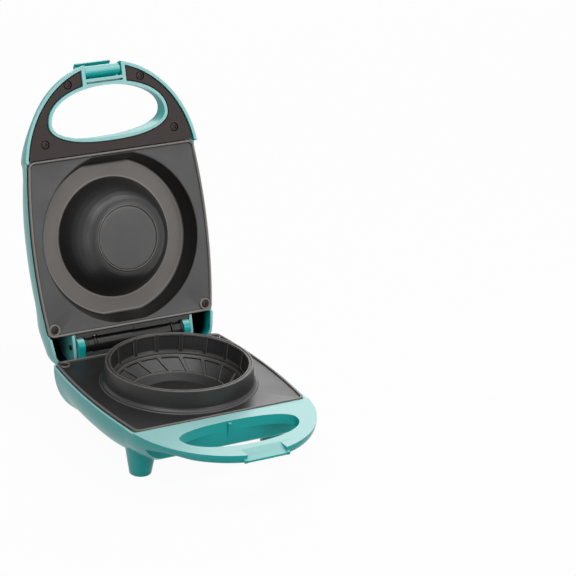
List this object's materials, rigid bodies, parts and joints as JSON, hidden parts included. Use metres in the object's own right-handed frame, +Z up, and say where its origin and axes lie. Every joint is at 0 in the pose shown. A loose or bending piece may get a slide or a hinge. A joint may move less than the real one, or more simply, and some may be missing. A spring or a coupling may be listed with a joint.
{
  "type": "waffle bowl maker",
  "caption": "Hinged countertop iron that bakes a bowl-shaped waffle, standing open: collared bowl plate below, domed plate above, D-shaped handles and a latch.",
  "frame": {"origin": "middle of the whole box at rest, on the plane that the foot pads stand on", "axes": "+X to the machine's right, +Y from the handles towards the hinge, +Z up"},
  "size_m": [0.1558, 0.2938, 0.2567],
  "materials": {
    "aqua_plastic": "moulded, satin gloss",
    "black_plastic": "moulded, fine matt grain",
    "non_stick_aluminium": "die-cast, with a dark satin non-stick coating",
    "pad_rubber": "matt",
    "bright_steel": "zinc plated",
    "black_steel": "blackened",
    "heater_steel": "drawn tube",
    "sheet_aluminium": "bright rolled sheet",
    "cream_ceramic": "matt",
    "red_lens": "clear moulded, polished",
    "green_lens": "clear moulded, polished",
    "board_laminate": "laminate"
  },
  "bodies": {
    "base": {"base_housing": "aqua_plastic", "lower_plate": "non_stick_aluminium", "bottom_cover": "aqua_plastic", "foot_pad_front_left": "pad_rubber", "foot_pad_front_right": "pad_rubber", "foot_pad_rear_left": "pad_rubber", "foot_pad_rear_right": "pad_rubber", "bottom_screw_front_left": "bright_steel", "bottom_screw_front_right": "bright_steel", "bottom_screw_rear_left": "bright_steel", "bottom_screw_rear_right": "bright_steel", "lower_plate_screw_left": "black_steel", "lower_plate_screw_right": "black_steel", "hinge_pin_left": "bright_steel", "hinge_pin_right": "bright_steel", "hinge_tube": "black_plastic", "cord_gland": "black_plastic", "lower_heater": "heater_steel", "lower_reflector": "sheet_aluminium", "thermostat": "cream_ceramic", "thermal_fuse": "cream_ceramic", "terminal_block": "cream_ceramic"},
    "lid": {"lid_housing": "aqua_plastic", "handle_cover": "black_plastic", "upper_plate": "non_stick_aluminium", "cover_screw_front_left": "black_steel", "cover_screw_front_right": "black_steel", "cover_screw_rear_left": "black_steel", "cover_screw_rear_right": "black_steel", "upper_plate_screw_left": "black_steel", "upper_plate_screw_right": "black_steel", "hinge_knuckle_left": "black_plastic", "hinge_knuckle_right": "black_plastic", "wire_cover": "black_plastic", "upper_heater": "heater_steel", "upper_reflector": "sheet_aluminium", "lamp_lens_red": "red_lens", "lamp_lens_green": "green_lens", "lamp_board": "board_laminate", "latch_pin": "bright_steel"},
    "latch": {"latch_clip": "aqua_plastic"}
  },
  "joints": [
    {"name": "lid_hinge", "type": "hinge", "parent": "base", "child": "lid", "pos_m": [0, 0.06745, 0.051], "axis": [1, 0, 0], "range_deg": [0, 107.3]},
    {"name": "latch_pivot", "type": "hinge", "parent": "lid", "child": "latch", "pos_m": [0, 0.12949, 0.24955], "axis": [1, 0, 0], "range_deg": [0, 135]}
  ]
}
